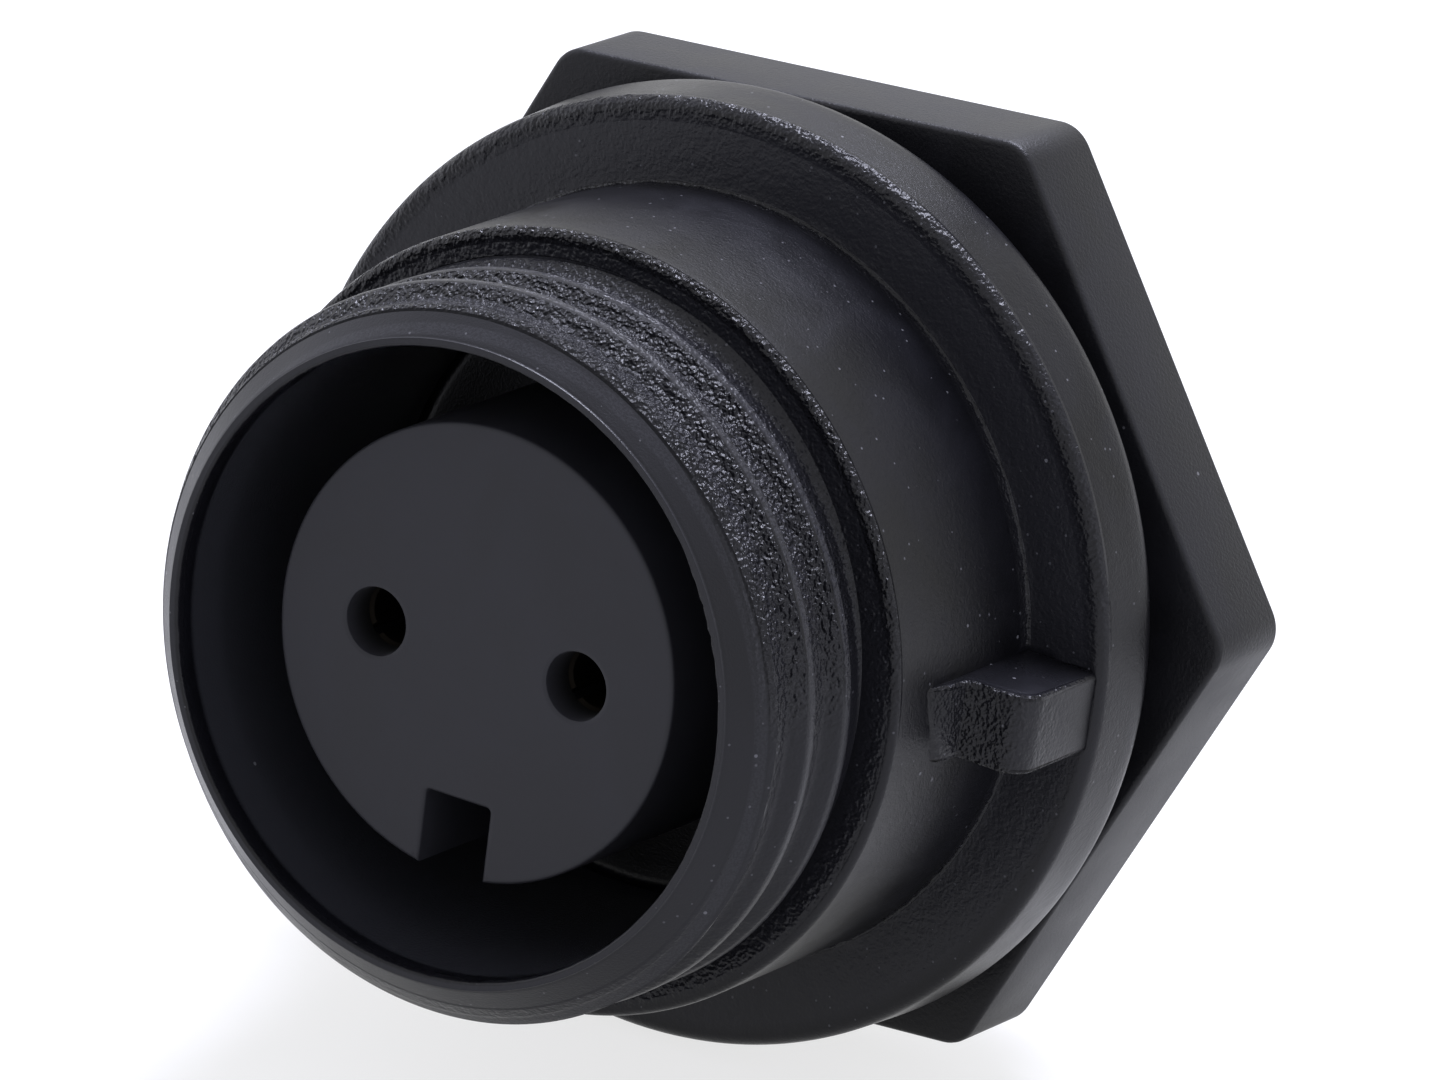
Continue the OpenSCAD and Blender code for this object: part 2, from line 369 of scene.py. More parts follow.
def fan(bm, tip, ring):
    """Faces from a point to a ring around it."""
    for i in range(len(ring)):
        bm.faces.new((ring[i - 1], ring[i], tip))


def inset(points, by):
    """A closed flat outline, drawn the counter-clockwise way, moved inwards."""
    sharpest = 0.5
    out = []
    for i, p in enumerate(points):
        a, b = points[i - 1], points[(i + 1) % len(points)]
        one, two = (p - a).normalized(), (b - p).normalized()
        side = Vector((-one.y, one.x)) + Vector((-two.y, two.x))
        out.append(p + side * (2 * by / max(side.length_squared, sharpest)))
    return out


def cap(bm, loops):
    """Flat faces inside the first loop and outside the others."""
    edges = [bm.edges.get((one[i - 1], one[i])) for one in loops for i in range(len(one))]
    bmesh.ops.triangle_fill(bm, edges=edges, use_beauty=True)


def piece(name, bm, material):
    """A mesh object at the origin with its normals outward."""
    bmesh.ops.recalc_face_normals(bm, faces=bm.faces)
    mesh = bpy.data.meshes.new(name)
    bm.to_mesh(mesh)
    bm.free()
    mesh.materials.append(material)
    obj = bpy.data.objects.new(name, mesh)
    bpy.context.scene.collection.objects.link(obj)
    return obj


def soften(obj):
    """Smooth shading with the sharp edges kept."""
    obj.data.polygons.foreach_set("use_smooth", [True] * len(obj.data.polygons))
    obj.data.set_sharp_from_angle(angle=math.radians(SHARP_DEGREES))
    obj.data.update()


def bake(obj):
    """The evaluated shape becomes the plain mesh and the modifiers go."""
    graph = bpy.context.evaluated_depsgraph_get()
    mesh = bpy.data.meshes.new_from_object(obj.evaluated_get(graph))
    obj.modifiers.clear()
    obj.data = mesh


def combine(obj, other, operation):
    """The other piece is joined to obj or cut from it, and is used up."""
    change = obj.modifiers.new("Combine", "BOOLEAN")
    change.operation = operation
    change.solver = "EXACT"
    change.object = other
    bake(obj)
    bpy.data.objects.remove(other)


def mark(obj, values):
    """Float attributes on the vertices."""
    for name, numbers in values.items():
        layer = obj.data.attributes.new(name, "FLOAT", "POINT")
        layer.data.foreach_set("value", numbers)


def mark_again(obj, places, values):
    """Vertex values of a piece that was joined on, which the union doesn't carry over."""
    same_place = 0.001 * MM
    tree = kdtree.KDTree(len(obj.data.vertices))
    for v in obj.data.vertices:
        tree.insert(v.co, v.index)
    tree.balance()
    for i, place in enumerate(places):
        _, found, far = tree.find(place)
        if far < same_place:
            for name, numbers in values.items():
                obj.data.attributes[name].data[found].value = numbers[i]


def hand_over(obj, body, slot, *nodes):
    """The finished piece stands for its CAD nodes and rides on their body."""
    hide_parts(*nodes)
    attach(obj, body)


class Nodes:
    """Short hands for building one node tree."""

    def __init__(self, tree):
        self.tree = tree

    def add(self, kind, inputs=(), **settings):
        """A node with its settings and inputs; an input is a value or a socket."""
        made = self.tree.nodes.new(kind)
        for key, value in settings.items():
            setattr(made, key, value)
        for key, value in dict(inputs).items():
            self.put(made.inputs[key], value)
        return made

    def put(self, socket, value):
        """A value or a link into a socket."""
        if isinstance(value, bpy.types.NodeSocket):
            self.tree.links.new(value, socket)
        else:
            socket.default_value = value

    def math(self, operation, *values):
        """A Math node's result."""
        return self.add("ShaderNodeMath", enumerate(values), operation=operation).outputs[0]

    def times(self, one, two):
        """The product of two values."""
        return self.math("MULTIPLY", one, two)

    def scaled(self, value, by, start):
        """A value times a number, on top of a start."""
        return self.math("MULTIPLY_ADD", value, by, start)

    def ramp(self, value, low, high, to_low=0.0, to_high=1.0):
        """A soft step of a value."""
        span = {"Value": value, "From Min": low, "From Max": high, "To Min": to_low, "To Max": to_high}
        return self.add("ShaderNodeMapRange", span, interpolation_type="SMOOTHSTEP").outputs["Result"]

    def mix(self, factor, one, two):
        """A colour between two colours; they are sockets 6 and 7 of a Mix node that is set to colours."""
        return self.add("ShaderNodeMix", {0: factor, 6: one, 7: two}, data_type="RGBA").outputs[2]

    def where(self):
        """The place on the piece itself."""
        return self.add("ShaderNodeTexCoord").outputs["Object"]

    def cloud(self, **inputs):
        """Noise that keeps its place on the piece."""
        return self.add("ShaderNodeTexNoise", {"Vector": self.where(), **inputs}).outputs[0]


def new_tree(name, kind, inputs, outputs):
    """An empty node group with named sockets, as (Nodes, sockets to take from, sockets to give to)."""
    tree = bpy.data.node_groups.new(name, kind)
    for way, sockets in (("INPUT", inputs), ("OUTPUT", outputs)):
        for label, sort in sockets.items():
            tree.interface.new_socket(name=label, in_out=way, socket_type=sort)
    n = Nodes(tree)
    return n, n.add("NodeGroupInput").outputs, n.add("NodeGroupOutput").inputs


def shared(name):
    """Marks the builder of a node group, which is built once and handed out from then on."""

    def wrap(build):
        @functools.wraps(build)
        def fetch():
            return bpy.data.node_groups.get(name) or build(name)

        return fetch

    return wrap


def shape_tree(name, inputs):
    """An empty Geometry Nodes tree that takes a shape, named inputs and a material, and gives a shape."""
    sockets = {"Geometry": SHAPE, **inputs, "Material": "NodeSocketMaterial"}
    return new_tree(name, "GeometryNodeTree", sockets, {"Geometry": SHAPE})


def end_tree(n, give, shape, material):
    """Ends a Geometry Nodes tree with real geometry in its material."""
    real = n.add("GeometryNodeRealizeInstances", {0: shape})
    dressed = n.add("GeometryNodeSetMaterial", {"Geometry": real.outputs[0], "Material": material})
    n.put(give[0], dressed.outputs[0])
    return n.tree


def use_tree(obj, tree, values):
    """A Geometry Nodes modifier with its named inputs set, evaluated once and made into plain mesh."""
    change = obj.modifiers.new(tree.name, "NODES")
    change.node_group = tree
    for item in tree.interface.items_tree:
        if item.item_type == "SOCKET" and item.in_out == "INPUT" and item.name in values:
            change[item.identifier] = values[item.name]
    bake(obj)


@shared("Screw thread")
def thread_tree(name):
    """Geometry Nodes: cuts a right-handed thread into the marked band of a turned piece."""
    sizes = ("Crest", "Depth", "Pitch", "Phase", "Crest share", "Root share", "Side")
    n, take, give = shape_tree(name, {"Band": "NodeSocketString", **dict.fromkeys(sizes, NUMBER)})
    x, y, z = n.add("ShaderNodeSeparateXYZ", {0: n.add("GeometryNodeInputPosition").outputs[0]}).outputs
    radius = n.math("SQRT", n.math("ADD", n.times(x, x), n.times(z, z)))
    turns = n.math("DIVIDE", n.math("ARCTAN2", z, x), TURN)
    height = n.math("SUBTRACT", n.times(y, -1.0), take["Phase"])
    wound = n.math("SUBTRACT", n.math("DIVIDE", height, take["Pitch"]), turns)
    off = n.math("ABSOLUTE", n.math("SUBTRACT", wound, n.math("ROUND", wound)))
    root = n.math("SUBTRACT", 0.5, n.times(take["Root share"], 0.5))
    groove = n.ramp(off, n.times(take["Crest share"], 0.5), root)
    uncut = n.times(take["Side"], take["Crest"])
    limit = n.math("SUBTRACT", uncut, n.times(take["Depth"], groove))
    cut = n.times(n.math("MINIMUM", n.times(radius, take["Side"]), limit), take["Side"])
    share = n.math("DIVIDE", cut, radius)
    moved = n.add("ShaderNodeCombineXYZ", {0: n.times(x, share), 1: y, 2: n.times(z, share)})
    band = n.add("GeometryNodeInputNamedAttribute", {"Name": take["Band"]}, data_type="FLOAT")
    chosen = n.math("GREATER_THAN", band.outputs["Attribute"], 0.5)
    crest = {"Name": "crest", "Value": n.math("SUBTRACT", 1.0, groove)}
    marked = n.add(
        "GeometryNodeStoreNamedAttribute",
        {"Geometry": take["Geometry"], "Selection": chosen, **crest},
        data_type="FLOAT",
        domain="POINT",
    )
    place = {"Geometry": marked.outputs[0], "Selection": chosen, "Position": moved.outputs[0]}
    shaped = n.add("GeometryNodeSetPosition", place)
    return end_tree(n, give, shaped.outputs[0], take["Material"])


@shared("Contact row")
def pair_tree(name):
    """Geometry Nodes: repeats a contact along the line of contacts."""
    sockets = {"Count": "NodeSocketInt", "Start": "NodeSocketVector", "Step": "NodeSocketVector"}
    n, take, give = shape_tree(name, sockets)
    line = {"Count": take["Count"], "Start Location": take["Start"], "Offset": take["Step"]}
    places = n.add("GeometryNodeMeshLine", line, mode="OFFSET")
    row = {"Points": places.outputs[0], "Instance": take["Geometry"]}
    set_out = n.add("GeometryNodeInstanceOnPoints", row)
    return end_tree(n, give, set_out.outputs[0], take["Material"])


@shared("Split ring")
def ring_tree(name):
    """Geometry Nodes: a flat wire with rounded edges, bent along an open arc."""
    arc_points, corner_points = 161, 4
    sizes = ("Radius", "Width", "Thickness", "Corner", "Start", "Sweep", "Height")
    n, take, give = shape_tree(name, dict.fromkeys(sizes, NUMBER))
    arc = {"Radius": take["Radius"], "Start Angle": take["Start"], "Sweep Angle": take["Sweep"]}
    path = n.add("GeometryNodeCurveArc", {"Resolution": arc_points, **arc}, mode="RADIUS")
    section = {"Width": take["Width"], "Height": take["Thickness"]}
    wire = n.add("GeometryNodeCurvePrimitiveQuadrilateral", section, mode="RECTANGLE")
    easing = {"Curve": wire.outputs[0], "Count": corner_points, "Radius": take["Corner"]}
    eased = n.add("GeometryNodeFilletCurve", easing, mode="POLY")
    sweep = {"Curve": path.outputs[0], "Profile Curve": eased.outputs[0], "Fill Caps": True}
    bent = n.add("GeometryNodeCurveToMesh", sweep)
    height = n.add("ShaderNodeCombineXYZ", {1: n.times(take["Height"], -1.0)})
    stand = {"Geometry": bent.outputs[0], "Rotation": (QUARTER, 0, 0), "Translation": height.outputs[0]}
    upright = n.add("GeometryNodeTransform", stand)
    return end_tree(n, give, upright.outputs[0], take["Material"])


def mask_tree(name, inputs, outputs):
    """An empty shader group whose sockets are all numbers."""
    return new_tree(name, "ShaderNodeTree", dict.fromkeys(inputs, NUMBER), dict.fromkeys(outputs, NUMBER))


@shared("Moulded skin")
def skin_group(name):
    """Shader group: the faint flow and grain of a moulded skin."""
    n, take, give = mask_tree(name, ("Grain", "Flow"), ("Height", "Shade"))
    grain = n.cloud(Scale=take["Grain"], Detail=3.0, Roughness=0.6)
    flow = n.cloud(Scale=take["Flow"], Detail=4.0, Distortion=0.6)
    n.put(give["Height"], grain)
    n.put(give["Shade"], n.ramp(flow, 0.3, 0.7))
    return n.tree


@shared("Spark-eroded texture")
def spark_group(name):
    """Shader group: the pitted texture that spark erosion leaves in a mould."""
    finer, lump_share, pit_share = 2.3, 0.7, 0.3
    n, take, give = mask_tree(name, ("Amount", "Scale"), ("Height", "Glint"))
    lumps = n.cloud(Scale=take["Scale"], Detail=2.0, Roughness=0.55)
    pits = n.cloud(Scale=n.times(take["Scale"], finer), Detail=0.0)
    relief = n.math("ADD", n.times(lumps, lump_share), n.times(pits, pit_share))
    n.put(give["Height"], n.times(relief, take["Amount"]))
    n.put(give["Glint"], n.times(n.ramp(lumps, 0.54, 0.68), take["Amount"]))
    return n.tree


@shared("Dust specks")
def dust_and_glint_group(name):
    """Shader group: sparse pale specks, for dust and for painted glints."""
    n, take, give = mask_tree(name, ("Scale", "Size", "Share"), ("Mask",))
    cells = n.add("ShaderNodeTexVoronoi", {"Vector": n.where(), "Scale": take["Scale"]}).outputs
    near = n.math("LESS_THAN", cells["Distance"], take["Size"])
    lucky = n.add("ShaderNodeSeparateColor", {0: cells["Color"]}).outputs[0]
    n.put(give["Mask"], n.times(near, n.math("LESS_THAN", lucky, take["Share"])))
    return n.tree


def start_material(name):
    """An empty material with a Principled surface, as (material, Nodes, surface)."""
    material = bpy.data.materials.new(name)
    material.use_nodes = True
    n = Nodes(material.node_tree)
    surface = material.node_tree.nodes["Principled BSDF"]
    return material, n, surface


def group(n, tree, **values):
    """A placed shader group with its named inputs."""
    return n.add("ShaderNodeGroup", values, node_tree=tree).outputs


def attribute(n, name):
    """A value that the mesh carries."""
    return n.add("ShaderNodeAttribute", attribute_name=name).outputs["Fac"]


def dress(n, surface, tone, rough, height, relief, strength=1.0):
    """Colour, roughness and relief of a surface."""
    n.put(surface.inputs["Base Color"], tone)
    n.put(surface.inputs["Roughness"], rough)
    bump = n.add("ShaderNodeBump", {"Strength": strength, "Distance": relief, "Height": height})
    n.put(surface.inputs["Normal"], bump.outputs[0])


def shell_material():
    """Black moulded plastic: satin, spark-eroded on the thread, glossy in the cavity; with painted fill
    light, painted highlights on the crests and painted glints.
    """
    pitted_share, dust_cover = 0.45, 0.5
    material, n, surface = start_material("Housing plastic")
    surface.inputs["Specular IOR Level"].default_value = PLASTIC_SHEEN
    gloss = attribute(n, "gloss")
    crest = attribute(n, "crest")
    depth = n.times(attribute(n, "spark"), n.ramp(crest, 0.9, 1.0, to_low=1.0, to_high=0.3))
    skin = group(n, skin_group(), Grain=16000.0, Flow=420.0)
    spark = group(n, spark_group(), Amount=depth, Scale=4400.0)
    dust = group(n, dust_and_glint_group(), Scale=900.0, Size=0.045, Share=0.22)
    # Pale specks for the painted glints
    specks = group(n, dust_and_glint_group(), Scale=2600.0, Size=0.09, Share=0.6)
    # Painted highlight: a pale, broken line along the thread's crests
    broken_up = n.ramp(skin["Height"], 0.4, 0.6, to_low=0.2)
    painted_crest_highlight = n.times(n.ramp(crest, 0.95, 1.0, to_high=0.4), broken_up)
    # Painted fill light: a paler tone on the cavity's glossy wall
    painted_cavity_fill = n.ramp(gloss, 0.7, 1.0, to_high=0.8)
    # Painted glints: pale specks away from the glossy places
    painted_glints = n.times(specks["Mask"], n.ramp(gloss, 0.0, 0.5, to_low=1.0, to_high=0.0))
    tone = n.mix(skin["Shade"], SHELL_DARK, SHELL_LIGHT)
    tone = n.mix(n.times(depth, pitted_share), tone, SHELL_PITTED)
    # Painted fill light: the paler tone, by each zone's share
    tone = n.mix(attribute(n, "pale"), tone, SHELL_PAINTED_FILL)
    tone = n.mix(painted_cavity_fill, tone, CAVITY_PAINTED_FILL)
    tone = n.mix(painted_crest_highlight, tone, SHELL_CREST_HIGHLIGHT)
    tone = n.mix(painted_glints, tone, SHELL_PAINTED_GLINT)
    tone = n.mix(n.times(dust["Mask"], dust_cover), tone, DUST)
    rough = n.scaled(skin["Shade"], by=0.08, start=0.28)
    rough = n.scaled(spark["Glint"], by=-0.16, start=rough)
    rough = n.scaled(gloss, by=-0.2, start=rough)
    height = n.scaled(skin["Height"], by=0.03, start=spark["Height"])
    dress(n, surface, tone, rough, height, relief=0.37 * MM)
    return material


def plain_plastic(name, tones, rough, grain, relief, dust_share):
    """Black moulded plastic with an even skin, with painted shade and a matt finish where the mesh marks a
    hole's inside.
    """
    dust_cover = 0.4
    material, n, surface = start_material(name)
    surface.inputs["Specular IOR Level"].default_value = PLASTIC_SHEEN
    # Painted shade: dark and matt inside the pin holes, where the mesh marks it
    deep = attribute(n, "deep")
    skin = group(n, skin_group(), Grain=grain, Flow=360.0)
    dust = group(n, dust_and_glint_group(), Scale=700.0, Size=0.04, Share=dust_share)
    tone = n.mix(deep, n.mix(skin["Shade"], *tones), HOLE_PAINTED_SHADE)
    tone = n.mix(n.times(dust["Mask"], dust_cover), tone, DUST)
    matt = n.scaled(skin["Shade"], by=0.06, start=rough)
    matt = n.scaled(deep, by=0.5, start=matt)
    dress(n, surface, tone, matt, skin["Height"], relief)
    return material


def gold_material():
    """Gold plating over turned brass, with faint turning marks and painted shade that darkens and roughens it
    towards the mouths.
    """
    marks_per_metre = 9000.0
    mouth_shade_from, mouth_shade_to = -6.0 * MM, -3.0 * MM
    material, n, surface = start_material("Contact gold")
    surface.inputs["Metallic"].default_value = 1.0
    along = n.add("ShaderNodeSeparateXYZ", {0: n.where()}).outputs[1]
    turning = {"W": n.times(along, marks_per_metre), "Scale": 1.0, "Detail": 2.0}
    marks = n.add("ShaderNodeTexNoise", turning, noise_dimensions="1D").outputs[0]
    skin = group(n, skin_group(), Grain=5000.0, Flow=500.0)
    # Painted shade: darker and rougher towards the contacts' mouths
    mouth_shade = n.ramp(along, mouth_shade_from, mouth_shade_to, to_low=1.0, to_high=0.0)
    tone = n.mix(mouth_shade, n.mix(skin["Shade"], *GOLD_TONES), MOUTH_PAINTED_SHADE)
    rough = n.scaled(marks, by=0.03, start=0.27)
    rough = n.scaled(mouth_shade, by=0.35, start=rough)
    dress(n, surface, tone, rough, marks, relief=0.004 * MM, strength=0.25)
    return material


def rubber_material():
    """Dull black rubber with a faint bloom."""
    material, n, surface = start_material("Seal rubber")
    skin = group(n, skin_group(), Grain=9000.0, Flow=700.0)
    tone = n.mix(skin["Shade"], *RUBBER_TONES)
    rough = n.scaled(skin["Shade"], by=0.12, start=0.68)
    dress(n, surface, tone, rough, skin["Height"], relief=0.02 * MM)
    return material


def steel_material():
    """Bright spring steel with a fine grain."""
    material, n, surface = start_material("Ring steel")
    surface.inputs["Metallic"].default_value = 1.0
    skin = group(n, skin_group(), Grain=14000.0, Flow=900.0)
    tone = n.mix(skin["Shade"], *STEEL_TONES)
    rough = n.scaled(skin["Height"], by=0.2, start=0.2)
    dress(n, surface, tone, rough, skin["Height"], relief=0.01 * MM, strength=0.5)
    return material


def shell_outline(p, screw):
    """Half section of the shell: forward along the outside, back along the inside."""
    front, rear, flange = extent("shell")
    seat, ring, _ = extent("retaining_ring")
    end_strip = 0.1 * MM
    smooth_cone = 0.55
    flange_front = flange - p.flange_draft
    drop = p.collar_top - p.collar_fall
    o = Outline(screw.crest - screw.edge, rear, "rear_thread")
    o.to(screw.crest, rear + screw.edge, "rear_thread", steps=6)
    o.to(screw.crest, -screw.land, "rear_thread", steps=110)
    o.to(screw.crest, 0, "flange_side", steps=2)
    o.to(flange - p.flange_back, 0, "flange_side", steps=4)
    o.round(flange, p.flange_back, "flange_side", steps=7)
    o.to(flange_front, p.flange_top - p.flange_edge, "flange_side", steps=4)
    o.round(flange_front - p.flange_edge, p.flange_top, "flange_edge", steps=7)
    o.to(p.collar + p.foot, p.flange_top, "flange_front", steps=6)
    o.round(p.collar, p.flange_top + p.foot, "foot", steps=5)
    o.to(p.collar, p.collar_top - p.collar_edge, "collar", steps=20)
    o.round(p.collar - p.collar_edge, p.collar_top, "collar_edge", steps=7)
    o.to(p.crest, drop, "collar_front", steps=3)
    o.rows[-1] = (p.crest, drop, "thread")
    o.to(p.crest, front - p.lead_in, "thread", steps=68)
    o.to(p.rim + smooth_cone * (p.crest - p.rim), front - smooth_cone * p.lead_in, "thread", steps=9)
    o.to(p.rim, front - p.rim_edge, "lead_in", steps=9)
    o.round(p.cavity + p.rim_flat, front, "rim", steps=4)
    o.to(p.cavity + p.mouth, front, "rim")
    o.round(p.cavity, front - p.mouth, "rim_edge", steps=4)
    o.to(p.cavity, p.floor + p.corner, "cavity", steps=14)
    o.round(p.cavity - p.corner, p.floor, "cavity_floor", steps=5)
    o.to(p.passage, p.floor, "cavity_floor", steps=4)
    o.to(p.passage, p.floor - p.web, "bore", steps=2)
    o.to(p.bore, p.floor - p.web, "bore", steps=2)
    o.to(p.bore, seat, "bore", steps=4)
    o.to(p.groove, seat, "bore")
    o.to(p.groove, ring - p.groove_play, "bore")
    o.to(p.bore, ring - p.groove_play, "bore")
    o.to(p.bore, rear + p.bore_edge, "bore", steps=10)
    o.to(p.bore + p.bore_edge, rear, "bore", steps=2)
    o.to(screw.crest - screw.edge - end_strip, rear, "rear_thread", steps=2)
    return o.rows


def flash(turn):
    """How far moulding flash stands in from the rim's inner edge: most at two places."""
    least, most, spread = 0.02 * MM, 0.12 * MM, math.radians(9)
    reach = least
    for place in (math.radians(183), math.radians(24)):
        reach += most * math.exp(-(((turn - place) / spread) ** 2))
    return reach


def uneven(zone, turn):
    """How far the moulding strays from the round: flash inside the rim, a ragged foot of the collar."""
    flash_waves, foot_waves, foot_ragged = 14, 150, 0.05 * MM
    around = Vector((math.cos(turn), math.sin(turn), 0))
    if zone == "rim_edge":
        return -flash(turn) * abs(noise.noise(around * flash_waves))
    if zone == "foot":
        return foot_ragged * noise.noise(around * foot_waves)
    return 0.0


def spark_depth(p, zone, turn, height):
    """Depth of the spark-eroded texture: fading towards the collar and on the lower half."""
    by_collar, fade_length = 0.25, 0.9 * MM
    below, fade_low, fade_high = 0.08, -0.05, 0.45
    depth = ZONES[zone][0]
    if zone == "thread":
        depth *= by_collar + (1 - by_collar) * smooth(p.collar_top, p.collar_top + fade_length, height)
    if zone in ("thread", "collar_edge", "flange_edge"):
        depth *= below + (1 - below) * smooth(fade_low, fade_high, math.sin(turn))
    return depth


def lug_side(lug, shell):
    """The lug and its step seen from the side, and the depth of the texture at each point."""
    hidden, outer, nose = 0.1, 0.12, 0.7
    nose_steps = 6
    root = shell.cavity + lug.root
    under = shell.flange_top - lug.sunk
    side = [(root, under, hidden), (lug.reach, under, hidden)]
    for i, (gone, left) in enumerate(quarter(nose_steps)):
        depth = outer + (nose - outer) * smooth(1, nose_steps, i)
        side.append((lug.reach - lug.nose * gone, lug.top - lug.nose * left, depth))
    for out, up, depth in LUG_STEP:
        side.append((shell.collar + out * MM, lug.top + up * MM, depth))
    side.append((root, lug.top + lug.step, hidden))
    return [Vector(row[:2]) for row in side], [row[2] for row in side]


def lug_piece(lug, shell, material):
    """The locating lug with its rounded edges, and the marks of its skin and its share of painted fill light.
    """
    cheek_spark, cheek_gloss, edge_spark, pale = 0.03, 0.6, 0.8, 0.5
    shape, texture = lug_side(lug, shell)
    across = Vector((math.sin(lug.turn), 0, math.cos(lug.turn)))
    out = Vector((math.cos(lug.turn), 0, -math.sin(lug.turn)))
    first_slanted = len(shape) - 2
    bm = bmesh.new()
    loops = []
    marks = {"spark": [], "gloss": [], "pale": []}
    arc = list(enumerate(quarter(3)))
    for way, rounding in ((-1, arc), (1, arc[::-1])):
        for i, (gone, left) in rounding:
            at = way * (lug.width / 2 - lug.edge * gone)
            rise = lug.slant * (at / lug.width + 0.5)
            points = []
            for k, q in enumerate(inset(shape, lug.edge * left)):
                height = q.y + rise if k >= first_slanted else q.y
                points.append(out * q.x + across * at - Vector((0, height, 0)))
                edge = max(texture[k], edge_spark)
                marks["spark"].append((cheek_spark, edge, edge, texture[k])[i])
                marks["gloss"].append(0.0 if i else cheek_gloss)
                marks["pale"].append(pale)
            loops.append(loop(bm, points))
    bridge(bm, loops)
    bm.faces.new(loops[0])
    bm.faces.new(loops[-1])
    return piece("Lug", bm, material), marks


def cut_thread(obj, band, sizes, crest, phase, crest_share, side):
    """Cuts a right-handed thread into a marked band: side is 1 on the outside and -1 in a bore."""
    root_share = 0.3
    values = {
        "Band": band,
        "Crest": crest,
        "Depth": sizes.depth,
        "Pitch": sizes.pitch,
        "Phase": phase,
        "Crest share": crest_share,
        "Root share": root_share,
        "Side": side,
        "Material": obj.data.materials[0],
    }
    use_tree(obj, thread_tree(), values)


class CONNECTOR_OT_shell(bpy.types.Operator):
    """Builds the moulded shell with both threads and the locating lug"""

    bl_idname = "connector.shell"
    bl_label = "Moulded shell"

    def execute(self, context):
        p, screw = context.scene.connector_shell, context.scene.connector_screw
        crest_share = 0.1
        material = shell_material()
        bm = bmesh.new()
        loops = []
        values = {name: [] for name in ("spark", "gloss", "pale", "crest", "coupling", "rear")}
        turns = [TURN * i / SHELL_POINTS for i in range(SHELL_POINTS)]
        for radius, height, zone in shell_outline(p, screw):
            loops.append(loop(bm, [point(radius + uneven(zone, turn), turn, height) for turn in turns]))
            values["spark"] += [spark_depth(p, zone, turn, height) for turn in turns]
            # The zone's gloss, and its share of the paler tone that paints in fill light
            _, gloss, pale = ZONES[zone]
            coupling, rear = zone in ("thread", "lead_in"), zone == "rear_thread"
            even = {"gloss": gloss, "pale": pale, "crest": 0.0, "coupling": coupling, "rear": rear}
            for name, value in even.items():
                values[name] += [float(value)] * SHELL_POINTS
        bridge(bm, [*loops, loops[0]])
        obj = piece("housing_moulding", bm, material)
        mark(obj, values)
        cut_thread(obj, "coupling", p, p.crest, p.phase, crest_share, 1.0)
        cut_thread(obj, "rear", screw, screw.crest, 0.0, crest_share, 1.0)
        lug, marks = lug_piece(context.scene.connector_lug, p, material)
        places = [v.co.copy() for v in lug.data.vertices]
        combine(obj, lug, "UNION")
        mark_again(obj, places, marks)
        soften(obj)
        hand_over(obj, "connector", "shell_plastic", "shell")
        return {"FINISHED"}


def keyed(p, notch=True):
    """The insert's nose seen from the front, with the keyway at the bottom or filled up."""
    half, ease = p.key_width / 2, p.key_corner
    spread = math.asin(half / p.nose)
    mouth, bottom = -p.nose * math.cos(spread), -p.key_floor - ease
    turns = [spread - QUARTER + (TURN - 2 * spread) * i / NOSE_POINTS for i in range(NOSE_POINTS + 1)]
    key = [Vector((-half, mouth + (bottom - mouth) * share)) for share in (0.25, 0.5, 0.75)]
    key += [Vector((ease * gone - half, -p.key_floor - ease * left)) for gone, left in quarter(4)]
    key += [Vector((0, -p.key_floor))] + [Vector((-q.x, q.y)) for q in reversed(key)]
    if not notch:
        shares = [2 * (i + 1) / (len(key) + 1) - 1 for i in range(len(key))]
        turns += [spread * share - QUARTER for share in shares]
        key = []
    return [Vector((math.cos(a), math.sin(a))) * p.nose for a in turns] + key


def insert_outside(bm, p, face, back, flange):
    """Loops of the insert's outside, from its face to its back."""

    def level(points, height):
        return loop(bm, [Vector((q.x, -height, q.y)) for q in points])

    face_strip = 0.17 * MM
    nose, plain = keyed(p), keyed(p, notch=False)
    outer = [level(inset(nose, face_strip), face)]
    for gone, left in quarter(3):
        outer.append(level(inset(nose, p.edge * left), face - p.edge * gone))
    outer.append(level(nose, p.key_end + HAIR))
    steps = [
        (p.nose, p.key_end),
        (p.nose, p.seat),
        (flange - p.edge, p.seat),
        (flange, p.seat - p.edge),
        (flange, p.back + p.edge),
        (flange - p.edge, p.back),
        (p.boss, p.back),
        (p.boss, back + p.boss_edge),
        (p.boss - p.boss_edge, back),
    ]
    for radius, height in steps:
        outer.append(level([q * (radius / p.nose) for q in plain], height))
    bridge(bm, outer)
    return outer


def pin_way(bm, p, shoulder, centre, face, back):
    """Loops of a stepped way through the insert, from the pin hole to the shoulder's seat."""
    face_strip = 0.16 * MM
    middle = 0.3 * p.edge
    steps = [
        (p.hole + face_strip, face),
        (p.hole + p.edge, face),
        (p.hole + middle, face - middle),
        (p.hole, face - p.edge),
        (p.hole, face - p.face),
        (p.way, face - p.face),
        (p.way, p.step),
        (shoulder + HAIR, p.step),
        (shoulder + HAIR, back),
    ]
    aside = Vector((centre, 0, 0))
    turns = [-TURN * i / HOLE_POINTS for i in range(HOLE_POINTS)]
    way = [loop(bm, [point(radius, turn, height) + aside for turn in turns]) for radius, height in steps]
    bridge(bm, way)
    return way


